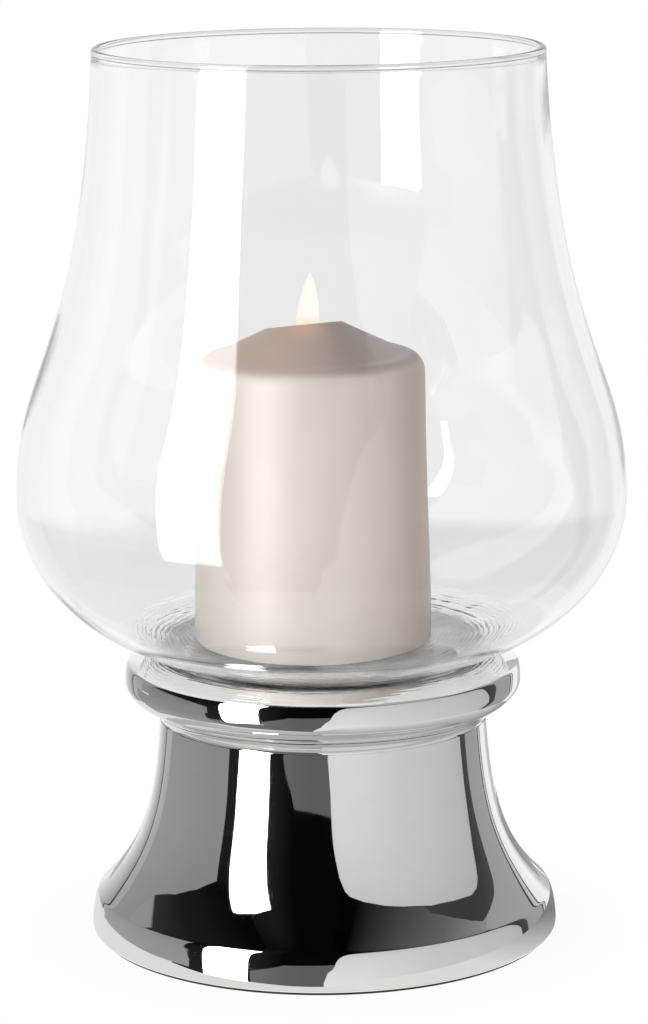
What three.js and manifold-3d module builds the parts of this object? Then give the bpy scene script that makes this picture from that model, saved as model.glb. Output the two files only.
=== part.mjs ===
// Hurricane lantern: a mirror-polished metal pedestal, a tulip glass standing loose in the dish
// on top of it, and a lacquered pillar candle standing on the floor of the glass.
import * as THREE from 'three';
import { mergeVertices } from 'three/addons/utils/BufferGeometryUtils.js';
import Module from 'manifold-3d';

const wasm = await Module();
wasm.setup();

// Driving dimensions: lengths in millimetres, angles in degrees
const seatGap = 0.3; // air where a piece rests on another or slips into it

const feltThickness = 1;
const feltWidth = 12;
const metalThickness = 2; // sheet that the pedestal and the collar are spun from
const footRadius = 99; // widest circle, at the bottom of the foot band
const footEdgeRadius = 3; // rounding from the underside into the band
const flangeWidth = 20; // turned-in underside of the foot, from the widest circle inwards
const bandHeight = 17; // foot band, from the underside to the shoulder
const bandLean = 3; // how far the band draws in on its way up
const bandCrown = 4; // stretch of the band that stays upright above its edge
const shoulderEase = 2.5; // rounding of the shoulder
const flareSlope = 44; // slope of the flare where it leaves the shoulder
const flareReach = 24.7; // how long the flare keeps that slope
const neckRadius = 69.35; // neck at its top edge
const neckDraft = 2.63; // how much wider the neck is one neckReach further down
const neckReach = 41.9;
const pedestalHeight = 92.1; // underside of the foot to the top edge of the neck

const beadOverhang = 14.45; // bead beyond the neck
const skirtSlope = 27; // slope of the bead's underside where it turns into a cove
const skirtWidth = 8.25; // width of the cove between the neck and that place
const skirtEase = 4.4; // how long the rounding above the cove keeps that slope
const coveHeight = 3.6; // stretch of the cove along the neck
const beadUnderHeight = 16.4; // foot of the cove to the widest circle of the bead
const beadUnderEase = 3.4; // stretch of the bead that stays upright below its widest circle
const beadSideEase = 4.2; // stretch that stays upright above it
const beadCrownHeight = 10.7; // widest circle of the bead to its crest
const beadCrownWidth = 11.9; // crest to the widest circle, measured inwards
const crestEase = 4; // level stretch outside the crest
const cornerDrop = 3.45; // crest down to the corner between crown and side
const cornerInset = 1.25; // that corner inside the widest circle
const cornerCut = 1; // length of crown and side taken by the corner's rounding
const dishDepth = 5.2; // crest down to the floor of the dish
const dishMargin = 6; // floor of the dish beyond the glass's resting ring
const dishEase = 9; // rounding at both ends of the dish's slope
const spigotDepth = 10; // skirt of the collar inside the neck

const glassWall = 3;
const glassFloorThickness = 9;
const glassHeight = 259.7;
const restRadius = 42; // outer edge of the flat ring that the glass stands on
const restWidth = 7;
const puntHeight = 1.5; // hollow in the middle of the underside
const bellyRadius = 127.75;
const bellyHeight = 72.3; // underside of the glass to its widest circle
const bowlSlope = 9.3; // slope of the bowl where it leaves the resting ring
const bowlFullness = 0.874; // share of the bowl's width that follows that slope
const bellyFullness = 0.236; // share of the belly's height that stays upright
const throatLevel = 0.31; // share of the upper glass at which the belly turns into the throat
const throatDraft = 6.4; // throat wider than the rim
const rimRadius = 93.3; // outside of the wall, just under the lip
const lipBulge = 0.7; // fire-polished lip beyond each face of the wall

const candleRadius = 50; // at the foot of the candle
const candleTaper = 2.4; // narrower by this much at the shoulder
const candleSide = 121.9; // foot of the candle to the corner under its cone
const coneSlope = 9.4; // slope of the cone where it leaves the shoulder
const coneReach = 11.8; // width of the cone that follows that slope before it steepens
const shoulderCut = 8; // length of side and cone taken by the shoulder's rounding
const coatThickness = 1.2; // metallic over-dip
const candleOffset = -4; // along X, as the candle stands in the glass
const candleMargin = 5; // flat glass floor beyond the candle
const craterHeight = 133.7; // foot of the candle to the burnt rim's plane, in the crater's middle
const burntTip = 8.5; // from that plane up to the tip that the cone had before it burnt
const craterRadius = 14;
const craterDepth = 8;
const craterShift = { x: -3.5, y: 5 }; // middle of the crater from the candle's axis
const craterTilt = 5.2; // burnt rim falls towards -X
const craterFall = 9.5; // burnt rim falls towards +Y
const wickRadius = 1.2;
const wickStand = 7; // length of the bent, burning end
const wickLean = 2.5; // how far that end leans towards -X

// Fineness of the revolved surfaces
const ringSteps = 48;
const candleSteps = 32;

// Places that follow from the dimensions, heights above the table unless said otherwise
const neckTop = feltThickness + pedestalHeight;
const beadUnderside = neckTop + seatGap;
const beadMiddle = beadUnderside + beadUnderHeight;
const beadCrest = beadMiddle + beadCrownHeight;
const beadRadius = neckRadius + beadOverhang;
const crestRadius = beadRadius - beadCrownWidth;
const dishFloor = beadCrest - dishDepth;
const dishFloorRadius = restRadius + dishMargin;
const spigotRadius = neckRadius - metalThickness - seatGap;
const glassBase = dishFloor + seatGap;
const lipRadius = glassWall / 2 + lipBulge;
const lipMiddle = glassHeight - lipRadius; // above the glass's underside
const lipStart = Math.acos(glassWall / 2 / lipRadius);
const wallTop = lipMiddle - lipRadius * Math.sin(lipStart);
const floorRadius = candleRadius + Math.abs(candleOffset) + candleMargin;
const candleBase = glassFloorThickness + seatGap; // above the glass's underside
const candleHeight = craterHeight + burntTip; // foot of the candle to the unburnt tip of its cone
const wickBore = wickRadius + seatGap;

const radians = THREE.MathUtils.degToRad;
const spot = (radius, height) => new THREE.Vector2(radius, height);
const line = (...ends) => new THREE.LineCurve(...ends);
const bend = (...corners) => new THREE.QuadraticBezierCurve(...corners);
const sweep = (...corners) => new THREE.CubicBezierCurve(...corners);
const oval = (middle, width, height, from, to) => new THREE.EllipseCurve(
  middle.x, middle.y, width, height, radians(from), radians(to), to < from);

// Points along a chain of curves, each given with its number of steps
function trace(...stretches) {
  const points = [];
  for (const [curve, steps] of stretches) {
    const sampled = curve.getPoints(steps);
    points.push(...sampled.slice(points.length ? 1 : 0));
  }
  return points;
}

// A profile moved sideways by a distance, to its right as seen along its run
function offset(points, distance) {
  const last = points.length - 1;
  const normal = (i) => {
    const run = points[i + 1].clone().sub(points[i]).normalize();
    return spot(run.y, -run.x);
  };
  return points.map((point, i) => {
    const before = normal(Math.max(i - 1, 0));
    const after = normal(Math.min(i, last - 1));
    const middle = before.clone().add(after).normalize();
    return point.clone().addScaledVector(middle, distance / middle.dot(after));
  });
}

// Solid of revolution about Z; a section that stays off the axis is closed into a ring
function revolve(section, steps) {
  const points = THREE.ShapeUtils.isClockWise(section) ? section.slice().reverse() : section.slice();
  if (points[0].x > 0) {
    points.push(points[0]);
  }
  return new THREE.LatheGeometry(points, steps).rotateX(Math.PI / 2);
}

function toSolid(geometry) {
  const bare = geometry.clone();
  bare.deleteAttribute('normal');
  bare.deleteAttribute('uv');
  const merged = mergeVertices(bare);
  return new wasm.Manifold(new wasm.Mesh({
    numProp: 3,
    vertProperties: merged.getAttribute('position').array,
    triVerts: Uint32Array.from(merged.getIndex().array),
  }));
}

function cut(geometry, tool) {
  const mesh = toSolid(geometry).subtract(toSolid(tool)).getMesh();
  const result = new THREE.BufferGeometry();
  result.setAttribute('position', new THREE.BufferAttribute(mesh.vertProperties, mesh.numProp));
  result.setIndex(new THREE.BufferAttribute(mesh.triVerts, 1));
  result.computeVertexNormals();
  return result;
}

function piece(name, geometry, colour, roughness, metalness) {
  const material = new THREE.MeshStandardMaterial({ color: colour, roughness, metalness });
  const mesh = new THREE.Mesh(geometry, material);
  mesh.name = name;
  return mesh;
}

// Felt ring under the foot, on the flat of the turned-in flange
function footFeltRing() {
  const outer = footRadius - footEdgeRadius;
  const section = [
    spot(outer - feltWidth, 0),
    spot(outer, 0),
    spot(outer, feltThickness),
    spot(outer - feltWidth, feltThickness),
  ];
  return piece('foot_felt_ring', revolve(section, ringSteps), 0x1d1d1f, 0.95, 0);
}

// Spun shell of foot and neck, drawn along its outside from the flange up to the neck's edge
function pedestalBody() {
  const edge = footRadius - footEdgeRadius;
  const bandFoot = spot(footRadius, feltThickness + footEdgeRadius);
  const shoulder = spot(footRadius - bandLean, feltThickness + bandHeight);
  const slope = spot(-Math.cos(radians(flareSlope)), Math.sin(radians(flareSlope)));
  const neck = spot(neckRadius, neckTop);
  const outside = trace(
    [line(spot(footRadius - flangeWidth, feltThickness), spot(edge, feltThickness)), 1],
    [oval(spot(edge, bandFoot.y), footEdgeRadius, footEdgeRadius, -90, 0), 3],
    [sweep(
      bandFoot,
      spot(footRadius, bandFoot.y + bandCrown),
      shoulder.clone().addScaledVector(slope, -shoulderEase),
      shoulder,
    ), 4],
    [sweep(
      shoulder,
      shoulder.clone().addScaledVector(slope, flareReach),
      spot(neckRadius + neckDraft, neckTop - neckReach),
      neck,
    ), 8],
  );
  const inside = offset(outside, -metalThickness);
  const shell = revolve([...outside, ...inside.reverse()], ringSteps);
  return piece('pedestal_body', shell, 0xd6d8da, 0.06, 1);
}

// Spun collar, drawn along its outside: dish floor, slope, rolled bead, cove and spigot
function collarDish() {
  const floorEdge = spot(dishFloorRadius, dishFloor);
  const crest = spot(crestRadius, beadCrest);
  const crown = spot(crestRadius + crestEase, beadCrest);
  const corner = spot(beadRadius - cornerInset, beadCrest - cornerDrop);
  const side = spot(beadRadius, beadMiddle + beadSideEase);
  const cornerTop = crown.clone().sub(corner).setLength(cornerCut).add(corner);
  const cornerSide = side.clone().sub(corner).setLength(cornerCut).add(corner);
  const widest = spot(beadRadius, beadMiddle);
  const coveFoot = spot(neckRadius, beadUnderside);
  const cove = spot(neckRadius, beadUnderside + coveHeight);
  const slope = spot(1, Math.tan(radians(skirtSlope)));
  const skirt = cove.clone().addScaledVector(slope, skirtWidth);
  const outside = trace(
    [line(spot(0, dishFloor), floorEdge), 1],
    [sweep(
      floorEdge,
      spot(dishFloorRadius + dishEase, dishFloor),
      spot(crestRadius - dishEase, beadCrest),
      crest,
    ), 4],
    [bend(crest, crown, cornerTop), 3],
    [bend(cornerTop, corner, cornerSide), 2],
    [bend(cornerSide, side, widest), 2],
    [sweep(
      widest,
      spot(beadRadius, beadMiddle - beadUnderEase),
      slope.clone().setLength(skirtEase).add(skirt),
      skirt,
    ), 4],
    [bend(skirt, cove, coveFoot), 2],
    [line(coveFoot, spot(spigotRadius, beadUnderside)), 1],
    [line(spot(spigotRadius, beadUnderside), spot(spigotRadius, beadUnderside - spigotDepth)), 1],
  );
  const inside = offset(outside, metalThickness);
  const shell = revolve([...outside, ...inside.reverse()], ringSteps);
  return piece('collar_dish', shell, 0xd6d8da, 0.06, 1);
}

// Blown tulip glass: heavy flat bottom, full bowl, drawn throat and a rounded lip
function glassShade() {
  const rest = spot(restRadius, 0);
  const belly = spot(bellyRadius, bellyHeight);
  const rim = spot(rimRadius, wallTop);
  const bowlRun = (bellyRadius - restRadius) * bowlFullness;
  const throat = bellyHeight + (wallTop - bellyHeight) * throatLevel;
  const punt = spot(restRadius - restWidth, 0);
  const underside = trace(
    [bend(spot(0, puntHeight), spot(punt.x / 2, puntHeight), punt), 2],
    [line(punt, rest), 1],
  );
  const bowl = sweep(
    rest,
    spot(restRadius + bowlRun, bowlRun * Math.tan(radians(bowlSlope))),
    spot(bellyRadius, bellyHeight * (1 - bellyFullness)),
    belly,
  ).getPoints(9);
  const upper = sweep(
    belly,
    spot(bellyRadius, throat),
    spot(rimRadius + throatDraft, throat),
    rim,
  ).getPoints(10);
  const lip = oval(
    spot(rimRadius - glassWall / 2, lipMiddle),
    lipRadius,
    lipRadius,
    -THREE.MathUtils.radToDeg(lipStart),
    180 + THREE.MathUtils.radToDeg(lipStart),
  ).getPoints(6);
  const wall = offset([...bowl.slice(2), ...upper.slice(1)], -glassWall);
  const inner = wall.reverse();
  const turn = inner[inner.length - 1];
  const heading = turn.clone().sub(inner[inner.length - 2]);
  const corner = turn.clone().addScaledVector(heading, (glassFloorThickness - turn.y) / heading.y);
  const floorEdge = spot(floorRadius, glassFloorThickness);
  const floor = trace(
    [bend(turn, corner, floorEdge), 2],
    [line(floorEdge, spot(0, glassFloorThickness)), 1],
  );
  const section = [
    ...underside,
    ...bowl.slice(1),
    ...upper.slice(1),
    ...lip.slice(1, -1),
    ...inner,
    ...floor.slice(1),
  ];
  return piece('glass_shade', revolve(section, ringSteps), 0xf2f5f5, 0.02, 0);
}

// Half outline of the candle from its foot up to its unburnt cone, lying a depth inside the
// finished surface and stopping at a bore round the axis
function candleOutline(depth, bore) {
  const pitch = Math.tan(radians(coneSlope));
  const foot = spot(candleRadius, 0);
  const corner = spot(candleRadius - candleTaper, candleSide);
  const waist = spot(corner.x - coneReach, candleSide + coneReach * pitch);
  const tip = spot(0, candleHeight);
  const low = foot.clone().sub(corner).setLength(shoulderCut).add(corner);
  const high = waist.clone().sub(corner).setLength(shoulderCut).add(corner);
  const finished = trace([line(foot, low), 1], [bend(low, corner, high), 3], [bend(high, waist, tip), 4]);
  const outline = offset(finished, -depth);
  const end = outline.pop();
  const before = outline[outline.length - 1];
  outline.push(before.clone().lerp(end, (before.x - bore) / (before.x - end.x)));
  outline[0].y = 0;
  return outline;
}

// Hollow burnt into the top: a bowl under a slanting plane
function crater() {
  const reach = candleRadius;
  const bowl = oval(spot(0, 0), craterRadius, craterDepth, -90, 0).getPoints(5);
  const section = [...bowl, spot(reach, 0), spot(reach, reach), spot(0, reach)];
  const tool = revolve(section, candleSteps);
  tool.rotateY(-radians(craterTilt));
  tool.rotateX(-radians(craterFall));
  tool.translate(craterShift.x, craterShift.y, craterHeight);
  return tool;
}

// Metallic over-dip: side and cone as a thin shell, open at the foot and at the crater
function candleCoat() {
  const outside = candleOutline(0, 0);
  const inside = candleOutline(coatThickness, 0);
  const shell = revolve([...outside.reverse(), ...inside], candleSteps);
  return piece('candle_coat', cut(shell, crater()), 0xcfc4bd, 0.35, 0.6);
}

// Wax body under the coat, bored along its axis for the wick
function candleCore() {
  const outside = candleOutline(coatThickness + seatGap, wickBore);
  const body = revolve([spot(wickBore, 0), ...outside], candleSteps);
  return piece('candle_core', cut(body, crater()), 0xb7a596, 0.5, 0);
}

// Braided wick from the foot of the candle to its bent, burning end in the crater
function wick() {
  const root = new THREE.Vector3(0, 0, craterHeight - craterDepth / 2);
  const knee = new THREE.Vector3(0, 0, root.z + wickStand / 2);
  const end = new THREE.Vector3(-wickLean, 0, root.z + wickStand);
  const curve = new THREE.CurvePath();
  curve.add(new THREE.LineCurve3(new THREE.Vector3(0, 0, 0), root));
  curve.add(new THREE.QuadraticBezierCurve3(root, knee, end));
  const round = new THREE.Shape().absarc(0, 0, wickRadius, 0, Math.PI * 2);
  const strand = new THREE.ExtrudeGeometry(round, { curveSegments: 3, steps: 30, extrudePath: curve });
  return piece('wick', strand, 0x3a322b, 0.9, 0);
}

const candle = new THREE.Group();
candle.add(candleCoat(), candleCore(), wick());
candle.position.set(candleOffset, 0, candleBase);

const glass = new THREE.Group();
glass.add(glassShade(), candle);
glass.position.z = glassBase;

const lantern = new THREE.Group();
lantern.add(footFeltRing(), pedestalBody(), collarDish(), glass);

export default lantern;
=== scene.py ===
import math

import bpy
import numpy as np
from mathutils import Matrix


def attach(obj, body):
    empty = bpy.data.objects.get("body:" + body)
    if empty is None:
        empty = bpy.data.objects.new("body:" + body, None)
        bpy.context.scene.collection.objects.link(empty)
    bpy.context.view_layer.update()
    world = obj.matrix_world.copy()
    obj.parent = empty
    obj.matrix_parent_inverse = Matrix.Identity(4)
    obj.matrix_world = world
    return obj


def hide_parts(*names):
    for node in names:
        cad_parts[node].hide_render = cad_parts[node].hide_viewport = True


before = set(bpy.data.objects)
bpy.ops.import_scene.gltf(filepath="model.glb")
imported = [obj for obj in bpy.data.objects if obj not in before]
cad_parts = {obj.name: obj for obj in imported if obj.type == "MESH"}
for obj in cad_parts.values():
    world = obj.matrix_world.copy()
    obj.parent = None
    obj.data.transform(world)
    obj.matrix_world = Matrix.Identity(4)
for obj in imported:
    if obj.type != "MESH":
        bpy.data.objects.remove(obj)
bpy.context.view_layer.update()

# Felt ring: a flat ring cut from black wool felt, glued under the turned-in flange of the foot
# so that the metal does not scratch the table. Only its edge shows, as a thin dark line.
MM = 0.001


def colour(code):
    """sRGB hex code to linear red, green, blue and alpha: the lower part of each channel is
    divided by 12.92, the rest follows the 2.4 power curve."""
    channels = np.array([int(code[i:i + 2], 16) for i in (1, 3, 5)]) / 255
    linear = np.where(channels <= 0.04045, channels / 12.92, ((channels + 0.055) / 1.055) ** 2.4)
    return (*linear.tolist(), 1.0)


def add(tree, kind, sockets=None, **settings):
    """Adds one node: settings are its properties, sockets its inputs by name or number, each
    given a plain value or the output that feeds it."""
    node = tree.nodes.new(kind)
    for name, value in settings.items():
        setattr(node, name, value)
    for name, value in (sockets or {}).items():
        if isinstance(value, bpy.types.NodeSocket):
            tree.links.new(value, node.inputs[name])
        else:
            node.inputs[name].default_value = value
    return node


def finish_named(name):
    """A new material with an empty node tree."""
    material = bpy.data.materials.new(name)
    material.use_nodes = True
    material.node_tree.nodes.clear()
    return material, material.node_tree


def surface(name, grid, poles, crease=35):
    """Mesh over a grid of points in millimetres that closes round its second direction. With
    poles the first and the last row each gather into one point, without them the last row joins
    the first. Edges that bend by more than the crease angle stay sharp."""
    rows, steps = grid.shape[:2]
    number = np.arange(rows * steps).reshape(rows, steps)
    follow = np.roll(number, -1, axis=1)
    if poles:
        points = np.vstack([grid[0].mean(0)[None], grid[1:-1].reshape(-1, 3), grid[-1].mean(0)[None]])
        number = np.clip(number - steps + 1, 0, len(points) - 1)
        follow = np.clip(follow - steps + 1, 0, len(points) - 1)
        number[0] = follow[0] = 0
        below, above = number[1:-2], number[2:-1]
        below_next, above_next = follow[1:-2], follow[2:-1]
        fans = [np.stack([number[0], follow[1], number[1]], 1),
                np.stack([number[-2], follow[-2], number[-1]], 1)]
    else:
        points = grid.reshape(-1, 3)
        below, above = number, np.roll(number, -1, axis=0)
        below_next, above_next = follow, np.roll(follow, -1, axis=0)
        fans = []
    quads = np.stack([below, below_next, above_next, above], -1).reshape(-1, 4)
    faces = quads.tolist() + [face for fan in fans for face in fan.tolist()]
    mesh = bpy.data.meshes.new(name)
    mesh.from_pydata((points * MM).tolist(), [], faces)
    mesh.polygons.foreach_set("use_smooth", np.ones(len(mesh.polygons), bool))
    mesh.set_sharp_from_angle(angle=math.radians(crease))
    mesh.update()
    piece = bpy.data.objects.new(name, mesh)
    bpy.context.scene.collection.objects.link(piece)
    return piece


def turned(section, steps):
    """Grid of a turned piece: each point of the section, radius and height, goes round the axis
    with the cosine and sine of the turn. The section runs so that its right side is outside."""
    radius, height = section[:, 0], section[:, 1]
    ahead = np.roll(section, -1, axis=0)
    if np.sum(radius * ahead[:, 1] - ahead[:, 0] * height) < 0:
        radius, height = radius[::-1], height[::-1]
    turn = np.linspace(0, 2 * np.pi, steps, endpoint=False)
    x, y = np.outer(radius, np.cos(turn)), np.outer(radius, np.sin(turn))
    return np.stack([x, y, np.broadcast_to(height[:, None], x.shape)], -1)


FELT_INSIDE, FELT_OUTSIDE, FELT_THICKNESS, FELT_STEPS = 84, 96, 1, 192
felt_section = np.array([
    (FELT_INSIDE, 0), (FELT_OUTSIDE, 0), (FELT_OUTSIDE, FELT_THICKNESS), (FELT_INSIDE, FELT_THICKNESS),
], float)
felt_ring = surface("felt_ring", turned(felt_section, FELT_STEPS), poles=False)

# Pressed wool felt, dyed black: matted fibres give a dull, uneven black with a faint sheen. Single
# fibres are too fine to show, so the pattern is as coarse as a tuft of them.
FELT_TUFT = 0.6 * MM
felt, tree = finish_named("black_wool_felt")
place = add(tree, "ShaderNodeTexCoord").outputs["Object"]
fibres = add(tree, "ShaderNodeTexNoise", {"Vector": place, "Scale": 1 / FELT_TUFT, "Detail": 4.0})
shade = add(tree, "ShaderNodeValToRGB", {"Fac": fibres.outputs["Fac"]})
shade.color_ramp.elements[0].color = colour("#0E0E0F")
shade.color_ramp.elements[1].color = colour("#2E2D2F")
nap = add(tree, "ShaderNodeBump", {"Height": fibres.outputs["Fac"], "Strength": 0.6, "Distance": 0.3 * MM})
body = add(tree, "ShaderNodeBsdfPrincipled", {
    "Base Color": shade.outputs["Color"], "Roughness": 0.95, "Sheen Weight": 0.3,
    "Normal": nap.outputs["Normal"]})
add(tree, "ShaderNodeOutputMaterial", {"Surface": body.outputs["BSDF"]})

felt_ring.data.materials.append(felt)
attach(felt_ring, "base")
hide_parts("foot_felt_ring")

# Pedestal: foot band, flare and waisted neck in one shell, spun from sheet steel over a former,
# nickel plated and buffed to a mirror. The flange turned in under the foot carries the felt.
METAL_THICKNESS = 2
FOOT_RADIUS, FOOT_EDGE, FLANGE_WIDTH = 99, 3, 20
BAND_HEIGHT, BAND_LEAN, BAND_CROWN, SHOULDER_EASE = 17, 3, 4, 2.5
FLARE_SLOPE, FLARE_REACH = math.radians(44), 24.7
NECK_RADIUS, NECK_DRAFT, NECK_REACH, PEDESTAL_HEIGHT = 69.35, 2.63, 41.9, 92.1
NECK_TOP = FELT_THICKNESS + PEDESTAL_HEIGHT
SPUN_STEPS = 256


def bend(steps, *corners):
    """Bezier curve: Bernstein weights of a share running evenly from 0 to 1, times the corners."""
    share = np.linspace(0, 1, steps + 1)[:, None]
    order = len(corners) - 1
    return sum(math.comb(order, k) * share ** k * (1 - share) ** (order - k) * np.array(corner, float)
               for k, corner in enumerate(corners))


def arc(steps, middle, width, height, start, end):
    """Part of an ellipse about a middle: width times the cosine and height times the sine of an
    angle that runs from start to end, in degrees."""
    angle = np.radians(np.linspace(start, end, steps + 1))
    return np.array(middle, float) + np.stack([width * np.cos(angle), height * np.sin(angle)], 1)


def chain(*runs):
    """Curves laid end to end, each shared point kept once."""
    return np.vstack([runs[0]] + [run[1:] for run in runs[1:]])


def inset(points, depth):
    """Profile moved to its left by a depth: each point goes along the mean of the normals of its
    two stretches, further where they meet at an angle."""
    run = np.diff(points, axis=0)
    run /= np.linalg.norm(run, axis=1, keepdims=True)
    normal = np.stack([-run[:, 1], run[:, 0]], 1)
    before, after = np.vstack([normal[:1], normal]), np.vstack([normal, normal[-1:]])
    middle = before + after
    middle /= np.linalg.norm(middle, axis=1, keepdims=True)
    return points + middle * (depth / np.sum(middle * after, axis=1, keepdims=True))


foot_inside = FOOT_RADIUS - FOOT_EDGE
band_foot = np.array([FOOT_RADIUS, FELT_THICKNESS + FOOT_EDGE])
shoulder = np.array([FOOT_RADIUS - BAND_LEAN, FELT_THICKNESS + BAND_HEIGHT])
flare = np.array([-math.cos(FLARE_SLOPE), math.sin(FLARE_SLOPE)])
pedestal_outside = chain(
    bend(3, (FOOT_RADIUS - FLANGE_WIDTH, FELT_THICKNESS), (foot_inside, FELT_THICKNESS)),
    arc(10, (foot_inside, band_foot[1]), FOOT_EDGE, FOOT_EDGE, -90, 0),
    bend(24, band_foot, band_foot + (0, BAND_CROWN), shoulder - flare * SHOULDER_EASE, shoulder),
    bend(72, shoulder, shoulder + flare * FLARE_REACH,
         (NECK_RADIUS + NECK_DRAFT, NECK_TOP - NECK_REACH), (NECK_RADIUS, NECK_TOP)),
)
pedestal_section = np.vstack([pedestal_outside, inset(pedestal_outside, METAL_THICKNESS)[::-1]])
pedestal = surface("pedestal", turned(pedestal_section, SPUN_STEPS), poles=False)

# Nickel plate over spun steel, buffed: a mirror that is a little warm, with the slow waviness
# of a spun wall and hairlines left by the buffing wheel, drawn coarser than real ones so that they
# show. The floor of the dish above the neck has a darker base colour: painted shade that dims
# what it reflects there.
SPUN_WAVE = 26 * MM
BUFF_PATCH = 9 * MM
BUFF_LINE = 0.5 * MM
# Painted shade: inside these radii and heights the dish floor mixes in a darker grey, darkening its
# reflection.
DISH_SHADE_RADIUS, DISH_UNSHADED_RADIUS = 67 * MM, 70 * MM
DISH_SHADE_FROM, DISH_SHADE_FULL = 113 * MM, 114 * MM
nickel, tree = finish_named("buffed_nickel_plate")
place = add(tree, "ShaderNodeTexCoord").outputs["Object"]
waves = add(tree, "ShaderNodeTexNoise", {"Vector": place, "Scale": 1 / SPUN_WAVE, "Detail": 1.0})
patches = add(tree, "ShaderNodeTexNoise", {"Vector": place, "Scale": 1 / BUFF_PATCH, "Detail": 5.0})
along = add(tree, "ShaderNodeMapping", {"Vector": place, "Scale": (0.08, 0.08, 1.0)})
lines = add(tree, "ShaderNodeTexNoise", {
    "Vector": along.outputs["Vector"], "Scale": 1 / BUFF_LINE, "Detail": 2.0})
blur = add(tree, "ShaderNodeMapRange", {
    "Value": patches.outputs["Fac"], "From Min": 0.35, "From Max": 0.7, "To Min": 0.015, "To Max": 0.05})
tint = add(tree, "ShaderNodeValToRGB", {"Fac": patches.outputs["Fac"]})
tint.color_ramp.elements[0].color = colour("#EDECE9")
tint.color_ramp.elements[1].color = colour("#F4F3F1")
round_axis = add(tree, "ShaderNodeVectorMath", {0: place, 1: (1.0, 1.0, 0.0)}, operation="MULTIPLY")
reach = add(tree, "ShaderNodeVectorMath", {0: round_axis.outputs[0]}, operation="LENGTH")
level = add(tree, "ShaderNodeSeparateXYZ", {"Vector": place})
inner = add(tree, "ShaderNodeMapRange", {
    "Value": reach.outputs["Value"], "From Min": DISH_UNSHADED_RADIUS, "From Max": DISH_SHADE_RADIUS},
    interpolation_type="SMOOTHSTEP")
dish = add(tree, "ShaderNodeMapRange", {
    "Value": level.outputs["Z"], "From Min": DISH_SHADE_FROM, "From Max": DISH_SHADE_FULL,
    "To Max": inner.outputs["Result"]})
dish_shaded_tint = add(tree, "ShaderNodeMix", {
    "Factor": dish.outputs["Result"], "A": tint.outputs["Color"], "B": colour("#97928C")}, data_type="RGBA")
roll = add(tree, "ShaderNodeBump", {"Height": waves.outputs["Fac"], "Strength": 0.05, "Distance": 1.5 * MM})
hairs = add(tree, "ShaderNodeBump", {
    "Height": lines.outputs["Fac"], "Strength": 0.012, "Distance": 0.05 * MM,
    "Normal": roll.outputs["Normal"]})
body = add(tree, "ShaderNodeBsdfPrincipled", {
    "Base Color": dish_shaded_tint.outputs[2], "Metallic": 1.0, "Roughness": blur.outputs["Result"],
    "Normal": hairs.outputs["Normal"]})
add(tree, "ShaderNodeOutputMaterial", {"Surface": body.outputs["BSDF"]})

pedestal.data.materials.append(nickel)
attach(pedestal, "base")
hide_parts("pedestal_body")

# Collar: dish, rolled bead and spigot in a second spun shell of the same plated steel. The
# spigot slips into the neck, and the joint line lies at the foot of the cove under the bead.
SEAT_GAP = 0.3
BEAD_OVERHANG, BEAD_UNDER, BEAD_CROWN, BEAD_CROWN_WIDTH = 14.45, 16.4, 10.7, 11.9
SKIRT_SLOPE, SKIRT_WIDTH, SKIRT_EASE, COVE_HEIGHT = math.radians(27), 8.25, 4.4, 3.6
UNDER_EASE, SIDE_EASE, CREST_EASE = 3.4, 4.2, 4
CORNER_DROP, CORNER_INSET, CORNER_CUT = 3.45, 1.25, 1
DISH_DEPTH, DISH_FLOOR_RADIUS, DISH_EASE, SPIGOT_DEPTH = 5.2, 48, 9, 10
BEAD_FOOT = NECK_TOP + SEAT_GAP
BEAD_MIDDLE = BEAD_FOOT + BEAD_UNDER
BEAD_CREST = BEAD_MIDDLE + BEAD_CROWN
BEAD_RADIUS = NECK_RADIUS + BEAD_OVERHANG
CREST_RADIUS = BEAD_RADIUS - BEAD_CROWN_WIDTH
DISH_FLOOR = BEAD_CREST - DISH_DEPTH
SPIGOT_RADIUS = NECK_RADIUS - METAL_THICKNESS - SEAT_GAP
crown = np.array([CREST_RADIUS + CREST_EASE, BEAD_CREST])
side = np.array([BEAD_RADIUS, BEAD_MIDDLE + SIDE_EASE])
corner = np.array([BEAD_RADIUS - CORNER_INSET, BEAD_CREST - CORNER_DROP])
corner_top = corner + (crown - corner) * CORNER_CUT / np.linalg.norm(crown - corner)
corner_side = corner + (side - corner) * CORNER_CUT / np.linalg.norm(side - corner)
cove = np.array([NECK_RADIUS, BEAD_FOOT + COVE_HEIGHT])
skirt = cove + SKIRT_WIDTH * np.array([1, math.tan(SKIRT_SLOPE)])
skirt_run = SKIRT_EASE * np.array([math.cos(SKIRT_SLOPE), math.sin(SKIRT_SLOPE)])
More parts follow.
